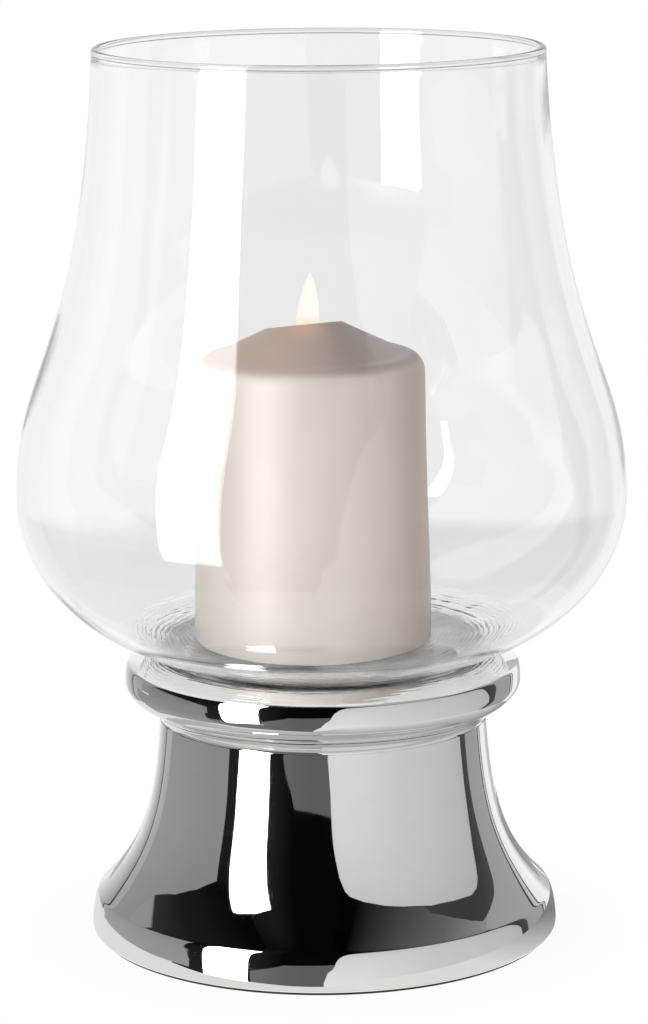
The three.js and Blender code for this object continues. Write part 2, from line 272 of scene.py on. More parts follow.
collar_outside = chain(
    bend(4, (0, DISH_FLOOR), (DISH_FLOOR_RADIUS, DISH_FLOOR)),
    bend(24, (DISH_FLOOR_RADIUS, DISH_FLOOR), (DISH_FLOOR_RADIUS + DISH_EASE, DISH_FLOOR),
         (CREST_RADIUS - DISH_EASE, BEAD_CREST), (CREST_RADIUS, BEAD_CREST)),
    bend(20, (CREST_RADIUS, BEAD_CREST), crown, corner_top),
    bend(10, corner_top, corner, corner_side),
    bend(16, corner_side, side, (BEAD_RADIUS, BEAD_MIDDLE)),
    bend(28, (BEAD_RADIUS, BEAD_MIDDLE), (BEAD_RADIUS, BEAD_MIDDLE - UNDER_EASE),
         skirt + skirt_run, skirt),
    bend(24, skirt, cove, (NECK_RADIUS, BEAD_FOOT)),
    bend(1, (NECK_RADIUS, BEAD_FOOT), (SPIGOT_RADIUS, BEAD_FOOT)),
    bend(1, (SPIGOT_RADIUS, BEAD_FOOT), (SPIGOT_RADIUS, BEAD_FOOT - SPIGOT_DEPTH)),
)
collar_section = np.vstack([collar_outside, inset(collar_outside, -METAL_THICKNESS)[::-1]])
collar = surface("collar", turned(collar_section, SPUN_STEPS), poles=True)
collar.data.materials.append(nickel)
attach(collar, "base")
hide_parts("collar_dish")

# Glass: a tulip blown in one piece, with a heavy bottom, a full bowl, a drawn throat and a rim
# that was cut and melted round in the flame. It stands loose in the dish on a ring of its foot.
GLASS_FOOT = DISH_FLOOR + SEAT_GAP
GLASS_WALL, GLASS_FLOOR, GLASS_HEIGHT = 3, 9, 259.7
REST_RADIUS, REST_WIDTH, PUNT_HEIGHT = 42, 7, 1.5
BELLY_RADIUS, BELLY_HEIGHT = 127.75, 72.3
BOWL_SLOPE, BOWL_FULLNESS, BELLY_FULLNESS = math.radians(9.3), 0.874, 0.236
THROAT_LEVEL, THROAT_DRAFT, RIM_RADIUS, LIP_BULGE = 0.31, 6.4, 93.3, 0.1
FLOOR_RADIUS = 59
LIP_RADIUS = GLASS_WALL / 2 + LIP_BULGE
LIP_START = math.acos(GLASS_WALL / 2 / LIP_RADIUS)
LIP_MIDDLE = GLASS_HEIGHT - LIP_RADIUS
WALL_TOP = LIP_MIDDLE - LIP_RADIUS * math.sin(LIP_START)
BOWL_STEPS, GLASS_STEPS = 90, 224
# Share of the bowl at which the inside leaves the even wall and turns into the floor.
TURN_SHARE = 2 / 9
bowl_run = (BELLY_RADIUS - REST_RADIUS) * BOWL_FULLNESS
throat = BELLY_HEIGHT + (WALL_TOP - BELLY_HEIGHT) * THROAT_LEVEL
punt = (REST_RADIUS - REST_WIDTH, 0)
glass_under = chain(
    bend(6, (0, PUNT_HEIGHT), (punt[0] / 2, PUNT_HEIGHT), punt),
    bend(2, punt, (REST_RADIUS, 0)),
)
glass_bowl = bend(BOWL_STEPS, (REST_RADIUS, 0),
                  (REST_RADIUS + bowl_run, bowl_run * math.tan(BOWL_SLOPE)),
                  (BELLY_RADIUS, BELLY_HEIGHT * (1 - BELLY_FULLNESS)), (BELLY_RADIUS, BELLY_HEIGHT))
glass_upper = bend(72, (BELLY_RADIUS, BELLY_HEIGHT), (BELLY_RADIUS, throat),
                   (RIM_RADIUS + THROAT_DRAFT, throat), (RIM_RADIUS, WALL_TOP))
lip_edge = math.degrees(LIP_START)
glass_lip = arc(20, (RIM_RADIUS - GLASS_WALL / 2, LIP_MIDDLE), LIP_RADIUS, LIP_RADIUS,
                -lip_edge, 180 + lip_edge)
glass_wall = chain(glass_bowl[round(BOWL_STEPS * TURN_SHARE):], glass_upper)
glass_inner = inset(glass_wall, GLASS_WALL)[::-1]
turn_point = glass_inner[-1]
heading = turn_point - glass_inner[-2]
floor_corner = turn_point + heading * (GLASS_FLOOR - turn_point[1]) / heading[1]
glass_floor = chain(
    bend(36, turn_point, floor_corner, (FLOOR_RADIUS, GLASS_FLOOR)),
    bend(12, (FLOOR_RADIUS, GLASS_FLOOR), (0, GLASS_FLOOR)),
)
glass_section = np.vstack([
    chain(glass_under, glass_bowl, glass_upper), glass_lip[1:-1], glass_inner, glass_floor[1:]])
glass_section[:, 1] += GLASS_FOOT


def window(value, low, high, ease):
    """1 between low and high, falling to 0 over the ease on both sides along a smooth step."""
    share = np.clip(np.minimum(value - low, high - value) / ease + 1, 0, 1)
    return share * share * (3 - 2 * share)


RING_SWING, RING_SWING_GAIN = 1.1, 0.4


def rippled(grid, rows, low, high, ease, depth, lengths, phase):
    """Rings left by the blowing mould: the height changes by a sum of sines of the radius, one
    for each ring spacing, whose phase swings slowly round the turn, inside a window of radii."""
    x, y = grid[rows, :, 0], grid[rows, :, 1]
    radius, turn = np.hypot(x, y), np.arctan2(y, x)
    rings = sum(np.sin(2 * np.pi * radius / length
                       + (RING_SWING + RING_SWING_GAIN * k) * np.sin((k + 2) * turn + phase * (k + 1)))
                for k, length in enumerate(lengths)) / len(lengths)
    grid[rows, :, 2] += depth * window(radius, low, high, ease) * rings


WALL_WAVES = ((3, 31), (5, -23), (2, 14))
WAVY_FOOT, WAVY_TOP, WAVY_EASE = GLASS_FOOT + 40, GLASS_FOOT + GLASS_HEIGHT - 20, 20


def wavy(grid, rows, depth, phase):
    """Slow waviness of a blown wall: points move towards the axis by up to the depth, as a sum of
    sines, each with its number of waves round the turn and its rise in millimetres per radian."""
    x, y, z = np.moveaxis(grid[rows], -1, 0)
    turn = np.arctan2(y, x)
    swell = sum(np.sin(count * turn + z / rise + (k + 1) * phase)
                for k, (count, rise) in enumerate(WALL_WAVES)) / (2 * len(WALL_WAVES)) + 0.5
    inward = depth * swell * window(z, WAVY_FOOT, WAVY_TOP, WAVY_EASE)
    grid[rows, :, :2] *= (1 - inward / np.hypot(x, y))[..., None]


glass_grid = turned(glass_section, GLASS_STEPS)
outer_rows = slice(1, len(glass_under) + BOWL_STEPS + len(glass_upper) - 2)
inner_rows = slice(len(glass_section) - len(glass_inner) - len(glass_floor) + 1, len(glass_section) - 1)
rippled(glass_grid, outer_rows, low=50, high=76, ease=8, depth=0.2, lengths=(2.9, 4.3, 6.1), phase=0.7)
rippled(glass_grid, inner_rows, low=62, high=76, ease=6, depth=0.12, lengths=(3.7, 5.3, 7.9), phase=2.1)
wavy(glass_grid, outer_rows, depth=0.25, phase=0.4)
wavy(glass_grid, inner_rows, depth=0.25, phase=1.9)
glass = surface("glass", glass_grid, poles=True, crease=60)

# Clear soda-lime glass, blown and fire polished: colourless in the wall, faintly blue where it
# is thick, with a soft streakiness from the gather and fine mould rings round the bottom. Both
# edges of the melted lip carry fine grey lines painted into the glass's tint: painted shade
# for the light that the lip bends away.
CORD_WIDTH = 14 * MM
MOULD_RING = 2.1 * MM
THICK_FROM, THICK_FULL = GLASS_FOOT + 16, GLASS_FOOT + 6
# Painted shade: fine grey lines at the top and bottom edges of the lip, multiplied into the glass tint.
LIP_SHADE_FROM, LIP_SHADE_TO = GLASS_FOOT + WALL_TOP - 1.2, GLASS_FOOT + GLASS_HEIGHT
CLEAR, LIP_PAINTED_SHADE = colour("#FFFFFF"), colour("#6E7274")
clear_glass, tree = finish_named("blown_soda_lime_glass")
place = add(tree, "ShaderNodeTexCoord").outputs["Object"]
drawn = add(tree, "ShaderNodeMapping", {"Vector": place, "Scale": (1.0, 1.0, 0.3)})
cords = add(tree, "ShaderNodeTexNoise", {
    "Vector": drawn.outputs["Vector"], "Scale": 1 / CORD_WIDTH, "Detail": 1.0})
axes = add(tree, "ShaderNodeSeparateXYZ", {"Vector": place})
bottom = add(tree, "ShaderNodeMapRange", {
    "Value": axes.outputs["Z"], "From Min": THICK_FROM * MM, "From Max": THICK_FULL * MM},
    interpolation_type="SMOOTHSTEP")
# At a scale of 1 this wave repeats every tenth of pi.
rings = add(tree, "ShaderNodeTexWave", {
    "Vector": place, "Scale": math.pi / 10 / MOULD_RING,
    "Distortion": 7.0, "Detail": 2.0, "Detail Scale": 0.3},
    wave_type="RINGS", rings_direction="Z")
ribbed = add(tree, "ShaderNodeMath", {
    0: rings.outputs["Fac"], 1: bottom.outputs["Result"]}, operation="MULTIPLY")
thick = add(tree, "ShaderNodeMix", {
    "Factor": bottom.outputs["Result"], "A": CLEAR, "B": colour("#F0F5F9")}, data_type="RGBA")
lip = add(tree, "ShaderNodeMapRange", {
    "Value": axes.outputs["Z"], "From Min": LIP_SHADE_FROM * MM, "From Max": LIP_SHADE_TO * MM})
lip_painted_lines = add(tree, "ShaderNodeValToRGB", {"Fac": lip.outputs["Result"]})
for share, tone in ((0.26, CLEAR), (0.36, LIP_PAINTED_SHADE), (0.46, CLEAR), (0.90, CLEAR)):
    lip_painted_lines.color_ramp.elements.new(share).color = tone
lip_painted_lines.color_ramp.elements[0].color = CLEAR
lip_painted_lines.color_ramp.elements[-1].color = LIP_PAINTED_SHADE
tint_and_lip_shade = add(tree, "ShaderNodeMix", {
    "Factor": 1.0, "A": thick.outputs[2], "B": lip_painted_lines.outputs["Color"]},
    data_type="RGBA", blend_type="MULTIPLY")
streaks = add(tree, "ShaderNodeBump", {
    "Height": cords.outputs["Fac"], "Strength": 0.05, "Distance": 0.5 * MM})
ribs = add(tree, "ShaderNodeBump", {
    "Height": ribbed.outputs[0], "Strength": 0.8, "Distance": 0.25 * MM,
    "Normal": streaks.outputs["Normal"]})
body = add(tree, "ShaderNodeBsdfPrincipled", {
    "Base Color": tint_and_lip_shade.outputs[2], "Roughness": 0.0, "IOR": 1.5, "Transmission Weight": 1.0,
    "Normal": ribs.outputs["Normal"]})
add(tree, "ShaderNodeOutputMaterial", {"Surface": body.outputs["BSDF"]})

glass.data.materials.append(clear_glass)
glass.visible_shadow = False
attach(glass, "glass")
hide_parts("glass_shade")

# Candle coat: a pillar candle dipped a second time in pearly champagne lacquer wax. The coat is
# a thin skin over side and cone, open at the foot and burnt away to a slanting rim on top.
CANDLE_FOOT = GLASS_FOOT + GLASS_FLOOR + SEAT_GAP
CANDLE_X = -4
CANDLE_RADIUS, CANDLE_TAPER, CANDLE_SIDE, CANDLE_HEIGHT = 50, 2.4, 121.9, 142.2
CONE_SLOPE, CONE_REACH, SHOULDER_CUT, COAT_THICKNESS = math.radians(9.4), 11.8, 8, 1.2
CRATER_HEIGHT, CRATER_RADIUS, CRATER_DEPTH = 133.7, 14, 8
CRATER_X, CRATER_Y = -3.5, 5
CRATER_TILT, CRATER_FALL = math.radians(5.2), math.radians(9.5)
CANDLE_STEPS, SKIN_STEPS = 192, 120


def candle_outline(depth):
    """Half outline from the foot over side, shoulder and cone to the axis, a depth under the skin:
    straight side, rounded shoulder and a cone that steepens towards its tip."""
    foot = np.array([CANDLE_RADIUS, 0.0])
    corner = np.array([CANDLE_RADIUS - CANDLE_TAPER, CANDLE_SIDE])
    waist = corner + np.array([-CONE_REACH, CONE_REACH * math.tan(CONE_SLOPE)])
    low = corner + (foot - corner) * SHOULDER_CUT / np.linalg.norm(foot - corner)
    high = corner + (waist - corner) * SHOULDER_CUT / np.linalg.norm(waist - corner)
    outline = inset(chain(bend(60, foot, low), bend(24, low, corner, high),
                          bend(60, high, waist, (0, CANDLE_HEIGHT))), depth)
    outline[0, 1] = 0
    return outline


def burnt_rim(x, y):
    """Height of the slanting plane that the candle has burnt down to."""
    return (CRATER_HEIGHT + (x - CRATER_X) * math.tan(CRATER_TILT) / math.cos(CRATER_FALL)
            - (y - CRATER_Y) * math.tan(CRATER_FALL))


def candle_skin(depth, rows, turn):
    """Radius and height, over rows and turn, of the outline a depth under the skin, running from
    the foot to where it meets the burnt plane."""
    outline = candle_outline(depth)
    radius, height = outline[:, :1], outline[:, 1:]
    over = height - burnt_rim(radius * np.cos(turn), radius * np.sin(turn))
    first = np.argmax(over > 0, axis=0)
    column = np.arange(len(turn))
    before, after = over[first - 1, column], over[first, column]
    end = first - after / (after - before)
    share = rows[:, None] * end
    number = np.arange(len(outline))
    return np.interp(share, number, outline[:, 0]), np.interp(share, number, outline[:, 1])


def round_candle(radius, height, turn):
    """Grid of points from radius and height over rows and turn, about the candle's own axis."""
    return np.stack([CANDLE_X + radius * np.cos(turn), radius * np.sin(turn), CANDLE_FOOT + height], -1)


candle_turn = np.linspace(0, 2 * np.pi, CANDLE_STEPS, endpoint=False)
skin_rows = np.linspace(0, 1, SKIN_STEPS + 1)
coat_grid = np.vstack([
    round_candle(*candle_skin(0, skin_rows, candle_turn), candle_turn),
    round_candle(*candle_skin(COAT_THICKNESS, skin_rows[::-1], candle_turn), candle_turn)])
coat = surface("candle_coat_skin", coat_grid, poles=False, crease=40)

# Pearl lacquer wax over paraffin: a satin skin whose mica flakes reflect like soft metal. The cone
# is painted brown as painted shade, darker towards its right side, and a faint orange glow is
# painted at the rim next to the flame. Single flakes are too fine to show and are drawn coarser.
PEARL_FLAKE = 0.7 * MM
DIP_RUN = 16 * MM
# Painted shade: the upward-facing cone is painted brown, darker still towards its right side.
CONE_SHADE_FROM, CONE_SHADE_FULL = CANDLE_FOOT + 118.5, CANDLE_FOOT + 123
SIDE_SHADE_FROM, SIDE_SHADE_FULL = CANDLE_X - 20, CANDLE_X + 26
# Painted glow: a faint orange emission round one point on the rim, for flame light shining through the wax.
RIM_GLOW_X, RIM_GLOW_Y, RIM_GLOW_Z = CANDLE_X - 2, -14, CANDLE_FOOT + 137
RIM_GLOW_REACH, RIM_GLOW_HEART, RIM_GLOW_STRENGTH = 11, 2, 0.14
pearl, tree = finish_named("champagne_pearl_wax")
place = add(tree, "ShaderNodeTexCoord").outputs["Object"]
axes = add(tree, "ShaderNodeSeparateXYZ", {"Vector": place})
cone_shade = add(tree, "ShaderNodeMapRange", {
    "Value": axes.outputs["Z"], "From Min": CONE_SHADE_FROM * MM, "From Max": CONE_SHADE_FULL * MM},
    interpolation_type="SMOOTHSTEP")
runs = add(tree, "ShaderNodeMapping", {"Vector": place, "Scale": (1.0, 1.0, 0.35)})
dip = add(tree, "ShaderNodeTexNoise", {
    "Vector": runs.outputs["Vector"], "Scale": 1 / DIP_RUN, "Detail": 3.0})
flakes = add(tree, "ShaderNodeTexNoise", {"Vector": place, "Scale": 1 / PEARL_FLAKE, "Detail": 2.0})
skin = add(tree, "ShaderNodeValToRGB", {"Fac": dip.outputs["Fac"]})
skin.color_ramp.elements[0].position, skin.color_ramp.elements[1].position = 0.3, 0.75
skin.color_ramp.elements[0].color = colour("#D8C8B9")
skin.color_ramp.elements[1].color = colour("#DFD0C2")
# Painted shade: the cone's brown darkens from left to right along X.
side_shade = add(tree, "ShaderNodeMapRange", {
    "Value": axes.outputs["X"], "From Min": SIDE_SHADE_FROM * MM, "From Max": SIDE_SHADE_FULL * MM},
    interpolation_type="SMOOTHSTEP")
cone_shade_tone = add(tree, "ShaderNodeMix", {
    "Factor": side_shade.outputs["Result"], "A": colour("#BE9E88"), "B": colour("#7F685B")}, data_type="RGBA")
cone_shaded_skin = add(tree, "ShaderNodeMix", {
    "Factor": cone_shade.outputs["Result"], "A": skin.outputs["Color"], "B": cone_shade_tone.outputs[2]}, data_type="RGBA")
edge = add(tree, "ShaderNodeVectorMath", {
    0: place, 1: (RIM_GLOW_X * MM, RIM_GLOW_Y * MM, RIM_GLOW_Z * MM)}, operation="DISTANCE")
painted_rim_glow = add(tree, "ShaderNodeMapRange", {
    "Value": edge.outputs["Value"], "From Min": RIM_GLOW_REACH * MM, "From Max": RIM_GLOW_HEART * MM,
    "To Max": RIM_GLOW_STRENGTH},
    interpolation_type="SMOOTHSTEP")
satin = add(tree, "ShaderNodeMapRange", {
    "Value": dip.outputs["Fac"], "From Min": 0.3, "From Max": 0.7, "To Min": 0.46, "To Max": 0.53})
slump = add(tree, "ShaderNodeBump", {"Height": dip.outputs["Fac"], "Strength": 0.12, "Distance": 1.0 * MM})
grit = add(tree, "ShaderNodeBump", {
    "Height": flakes.outputs["Fac"], "Strength": 0.08, "Distance": 0.1 * MM,
    "Normal": slump.outputs["Normal"]})
body = add(tree, "ShaderNodeBsdfPrincipled", {
    "Base Color": cone_shaded_skin.outputs[2], "Roughness": satin.outputs["Result"],
    "Coat Weight": 1.0, "Coat IOR": 2.6, "Coat Roughness": 0.48,
    "Emission Color": colour("#FF9A5C"), "Emission Strength": painted_rim_glow.outputs["Result"],
    "Normal": grit.outputs["Normal"]})
add(tree, "ShaderNodeOutputMaterial", {"Surface": body.outputs["BSDF"]})

coat.data.materials.append(pearl)
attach(coat, "candle")
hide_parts("candle_coat")

# Candle core: the poured paraffin body under the coat, bored for the wick. The flame has melted
# a shallow bowl into its top, off the middle, where the draught pushes the flame.
WICK_RADIUS, WICK_BORE, BOWL_ROWS = 1.2, 1.5, 48
core_radius, core_height = candle_skin(COAT_THICKNESS + SEAT_GAP, skin_rows, candle_turn)
across = np.linspace(0, 1, BOWL_ROWS + 1)[1:, None]
bowl_radius = core_radius[-1] * (1 - across) + WICK_BORE * across
bowl_x, bowl_y = bowl_radius * np.cos(candle_turn), bowl_radius * np.sin(candle_turn)
bowl_share = np.clip(np.hypot(bowl_x - CRATER_X, bowl_y - CRATER_Y) / CRATER_RADIUS, 0, 1)
bowl_height = burnt_rim(bowl_x, bowl_y) - CRATER_DEPTH * np.sqrt(1 - bowl_share ** 2)
bore_foot = np.full((1, CANDLE_STEPS), float(WICK_BORE))
core_grid = round_candle(
    np.vstack([bore_foot, core_radius, bowl_radius]),
    np.vstack([0 * bore_foot, core_height, bowl_height]), candle_turn)
core = surface("candle_wax_core", core_grid, poles=False, crease=40)

# Paraffin wax, tinted through: cloudy and soft to the light, wet and darker in the molten bowl.
WAX_CLOUD = 8 * MM
MOLTEN_FROM, MOLTEN_FULL = CANDLE_FOOT + 132, CANDLE_FOOT + 127
wax, tree = finish_named("tinted_paraffin_wax")
place = add(tree, "ShaderNodeTexCoord").outputs["Object"]
axes = add(tree, "ShaderNodeSeparateXYZ", {"Vector": place})
molten = add(tree, "ShaderNodeMapRange", {
    "Value": axes.outputs["Z"], "From Min": MOLTEN_FROM * MM, "From Max": MOLTEN_FULL * MM},
    interpolation_type="SMOOTHSTEP")
clouds = add(tree, "ShaderNodeTexNoise", {"Vector": place, "Scale": 1 / WAX_CLOUD, "Detail": 4.0})
cloudy = add(tree, "ShaderNodeValToRGB", {"Fac": clouds.outputs["Fac"]})
cloudy.color_ramp.elements[0].color = colour("#C4B0A1")
cloudy.color_ramp.elements[1].color = colour("#D8C7BA")
wet = add(tree, "ShaderNodeMix", {
    "Factor": molten.outputs["Result"], "A": cloudy.outputs["Color"], "B": colour("#A98C74")},
    data_type="RGBA")
gloss = add(tree, "ShaderNodeMapRange", {
    "Value": molten.outputs["Result"], "To Min": 0.5, "To Max": 0.08})
lumps = add(tree, "ShaderNodeBump", {
    "Height": clouds.outputs["Fac"], "Strength": 0.1, "Distance": 0.6 * MM})
body = add(tree, "ShaderNodeBsdfPrincipled", {
    "Base Color": wet.outputs[2], "Roughness": gloss.outputs["Result"], "IOR": 1.44,
    "Subsurface Weight": 0.3, "Subsurface Scale": 1.0,
    "Subsurface Radius": (4 * MM, 2.4 * MM, 1.6 * MM),
    "Normal": lumps.outputs["Normal"]})
add(tree, "ShaderNodeOutputMaterial", {"Surface": body.outputs["BSDF"]})

core.data.materials.append(wax)
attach(core, "candle")
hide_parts("candle_core")

# Wick: a flat cotton braid cast into the wax. Its free end in the bowl is charred and bends over
# to the side, as a braid that trims itself does.
WICK_ROOT = CRATER_HEIGHT - CRATER_DEPTH / 2
WICK_STAND, WICK_LEAN, WICK_STEPS, WICK_POINT = 7, 2.5, 24, 0.01
STRANDS, BRAID_PITCH, BRAID_DEPTH = 3, 3.2, 0.22
wick_line = np.vstack([
    np.linspace((0, 0, 0), (0, 0, WICK_ROOT), 241),
    bend(40, (0, 0, WICK_ROOT), (0, 0, WICK_ROOT + WICK_STAND / 2),
         (-WICK_LEAN, 0, WICK_ROOT + WICK_STAND))[1:]])
wick_turn = np.linspace(0, 2 * np.pi, WICK_STEPS, endpoint=False)
wick_heading = np.gradient(wick_line, axis=0)
wick_heading /= np.linalg.norm(wick_heading, axis=1, keepdims=True)
wick_side = np.cross(np.array([0.0, 1.0, 0.0]), wick_heading)
wick_run = np.concatenate([[0], np.cumsum(np.linalg.norm(np.diff(wick_line, axis=0), axis=1))])
# The strands cross in both directions: the radius dips where the two twists leave a groove.
twist = 2 * np.pi * wick_run[:, None] / BRAID_PITCH
lay = STRANDS / 2 * wick_turn
strands = np.abs(np.sin(lay + twist / 2)) * np.abs(np.sin(lay - twist / 2))
wick_radius = WICK_RADIUS - BRAID_DEPTH * (1 - strands)
wick_radius[[0, -1]] = WICK_POINT
wick_grid = (wick_line[:, None]
             + wick_radius[..., None] * (np.cos(wick_turn)[None, :, None] * wick_side[:, None]
                                         + np.sin(wick_turn)[None, :, None] * np.array([0.0, 1.0, 0.0])))
wick_grid += (CANDLE_X, 0, CANDLE_FOOT)
wick = surface("wick_braid", wick_grid, poles=True, crease=60)

# Waxed cotton braid: fuzzy with threads, pale where it is buried, charred black at the free end.
THREAD = 0.35 * MM
CHAR_FROM, CHAR_FULL = CANDLE_FOOT + WICK_ROOT - 2, CANDLE_FOOT + WICK_ROOT + 2
cotton, tree = finish_named("charred_cotton_braid")
place = add(tree, "ShaderNodeTexCoord").outputs["Object"]
axes = add(tree, "ShaderNodeSeparateXYZ", {"Vector": place})
threads = add(tree, "ShaderNodeTexNoise", {"Vector": place, "Scale": 1 / THREAD, "Detail": 3.0})
burnt = add(tree, "ShaderNodeMapRange", {
    "Value": axes.outputs["Z"], "From Min": CHAR_FROM * MM, "From Max": CHAR_FULL * MM})
char = add(tree, "ShaderNodeValToRGB", {"Fac": burnt.outputs["Result"]})
char.color_ramp.elements[0].color = colour("#C9B9A4")
char.color_ramp.elements[1].color = colour("#17120F")
fuzz = add(tree, "ShaderNodeBump", {
    "Height": threads.outputs["Fac"], "Strength": 0.5, "Distance": 0.15 * MM})
body = add(tree, "ShaderNodeBsdfPrincipled", {
    "Base Color": char.outputs["Color"], "Roughness": 0.9, "Normal": fuzz.outputs["Normal"]})
add(tree, "ShaderNodeOutputMaterial", {"Surface": body.outputs["BSDF"]})

wick.data.materials.append(cotton)
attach(wick, "candle")
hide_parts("wick")

# Flame: burning wax vapour round the end of the wick, drawn as three thin shells one inside the
# other, so that it is brightest through the middle and thins out towards its edge.
FLAME_FOOT, FLAME_HEIGHT, FLAME_RADIUS = 129.5, 27.4, 4.7
FLAME_FOOT_X, FLAME_TIP_X = -2.0, 0.0
FLAME_WIDEST, FLAME_FULLNESS, FLAME_STEPS = 0.22, 0.8, 48
SHELLS, SHELL_RISE, SHELL_SHORTENING = (1.0, 0.8, 0.6), 0.3, 0.55
flame_rows = np.linspace(0, 1, FLAME_STEPS + 1)[:, None]
flame_turn = np.linspace(0, 2 * np.pi, FLAME_STEPS, endpoint=False)


def flame_shell(size):
    """Teardrop: the radius rises as the square root of the height up to the widest place and falls
    to the tip along a power of a cosine; the axis leans from the foot to the tip. Smaller shells
    start higher and are shorter."""
    taper = np.clip((flame_rows - FLAME_WIDEST) / (1 - FLAME_WIDEST), 0, 1)
    radius = size * FLAME_RADIUS * np.minimum(1, (flame_rows / FLAME_WIDEST)) ** 0.5 * (
        np.cos(np.pi / 2 * taper) ** FLAME_FULLNESS)
    height = FLAME_FOOT + FLAME_HEIGHT * (
        SHELL_RISE * (1 - size) + flame_rows * (1 - SHELL_SHORTENING * (1 - size)))
    middle = FLAME_FOOT_X + (FLAME_TIP_X - FLAME_FOOT_X) * flame_rows
    x = CANDLE_X + middle + radius * np.cos(flame_turn)
    y = radius * np.sin(flame_turn)
    return np.stack([x, y, np.broadcast_to(CANDLE_FOOT + height, x.shape)], -1)


# Glowing soot in the vapour: cream white, peach near the foot, with no body of its own.
FLICKER = 6 * MM
glow, tree = finish_named("candle_flame_glow")
place = add(tree, "ShaderNodeTexCoord").outputs["Object"]
axes = add(tree, "ShaderNodeSeparateXYZ", {"Vector": place})
rise = add(tree, "ShaderNodeMapRange", {
    "Value": axes.outputs["Z"], "From Min": (CANDLE_FOOT + FLAME_FOOT) * MM,
    "From Max": (CANDLE_FOOT + FLAME_FOOT + FLAME_HEIGHT) * MM})
breath = add(tree, "ShaderNodeTexNoise", {"Vector": place, "Scale": 1 / FLICKER, "Detail": 1.0})
sway = add(tree, "ShaderNodeMath", {0: breath.outputs["Fac"], 1: 0.12, 2: rise.outputs["Result"]},
           operation="MULTIPLY_ADD")
hue = add(tree, "ShaderNodeValToRGB", {"Fac": sway.outputs["Value"]})
hue.color_ramp.elements[0].color = colour("#FBDCC8")
hue.color_ramp.elements[0].position = 0.15
hue.color_ramp.elements[1].color = colour("#FFFBF3")
hue.color_ramp.elements[1].position = 0.45
veil = add(tree, "ShaderNodeMapRange", {"Value": rise.outputs["Result"], "To Min": 0.75, "To Max": 0.45})
body = add(tree, "ShaderNodeBsdfPrincipled", {
    "Base Color": colour("#000000"), "Roughness": 1.0, "Specular IOR Level": 0.0,
    "Emission Color": hue.outputs["Color"], "Emission Strength": 1.1, "Alpha": veil.outputs["Result"]})
add(tree, "ShaderNodeOutputMaterial", {"Surface": body.outputs["BSDF"]})

for number, size in enumerate(SHELLS):
    flame = surface(f"flame_shell_{number + 1}", flame_shell(size), poles=True, crease=80)
    flame.data.materials.append(glow)
    flame.visible_shadow = False
    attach(flame, "candle")

# Studio: a round white table in a white room, whose light meets the table as a matt top that keeps
# the lantern's soft shadow. The camera sees both as plain white, the glass shows the room a little
# grey, darker below and overhead.
TABLE_RADIUS, TABLE_DROP, TABLE_STEPS = 0.29, 0.0002, 96
table_turn = np.linspace(0, 2 * np.pi, TABLE_STEPS, endpoint=False)
table_rim = np.stack([
    TABLE_RADIUS * np.cos(table_turn), TABLE_RADIUS * np.sin(table_turn), 0 * table_turn - TABLE_DROP], 1)
table_mesh = bpy.data.meshes.new("table")
table_mesh.from_pydata(table_rim.tolist(), [], [list(range(TABLE_STEPS))])
table = bpy.data.objects.new("table", table_mesh)
bpy.context.scene.collection.objects.link(table)
table.visible_glossy = False


def plainly_seen(tree):
    """1 for rays from the camera, a mirror or glass that have not met a matt surface, else 0."""
    path = add(tree, "ShaderNodeLightPath").outputs
    seen = path["Is Camera Ray"]
    for kind in ("Is Glossy Ray", "Is Transmission Ray"):
        seen = add(tree, "ShaderNodeMath", {0: seen, 1: path[kind]}, operation="MAXIMUM").outputs[0]
    first = add(tree, "ShaderNodeMath", {0: path["Diffuse Depth"], 1: 0.5}, operation="LESS_THAN")
    return add(tree, "ShaderNodeMath", {0: seen, 1: first.outputs[0]}, operation="MULTIPLY").outputs[0]


# White laminate: matt near the lantern, where the shadow lies, and plain white towards its edge.
SHADOW_SHARE, SHADOW_FULL, SHADOW_END = 0.06, 0.10, 0.14
white, tree = finish_named("white_table_laminate")
place = add(tree, "ShaderNodeTexCoord").outputs["Object"]
reach = add(tree, "ShaderNodeVectorMath", {0: place}, operation="LENGTH")
fade = add(tree, "ShaderNodeMapRange", {
    "Value": reach.outputs["Value"], "From Min": SHADOW_FULL, "From Max": SHADOW_END,
    "To Min": 1 - SHADOW_SHARE, "To Max": 1.0}, interpolation_type="SMOOTHSTEP")
share = add(tree, "ShaderNodeMath", {
    0: plainly_seen(tree), 1: fade.outputs["Result"]}, operation="MULTIPLY")
matt = add(tree, "ShaderNodeBsdfDiffuse", {"Color": colour("#F4F4F4")})
plain = add(tree, "ShaderNodeEmission", {"Color": colour("#FFFFFF"), "Strength": 1.0})
both = add(tree, "ShaderNodeMixShader", {0: share.outputs[0], 1: matt.outputs[0], 2: plain.outputs[0]})
add(tree, "ShaderNodeOutputMaterial", {"Surface": both.outputs[0]})
table_mesh.materials.append(white)

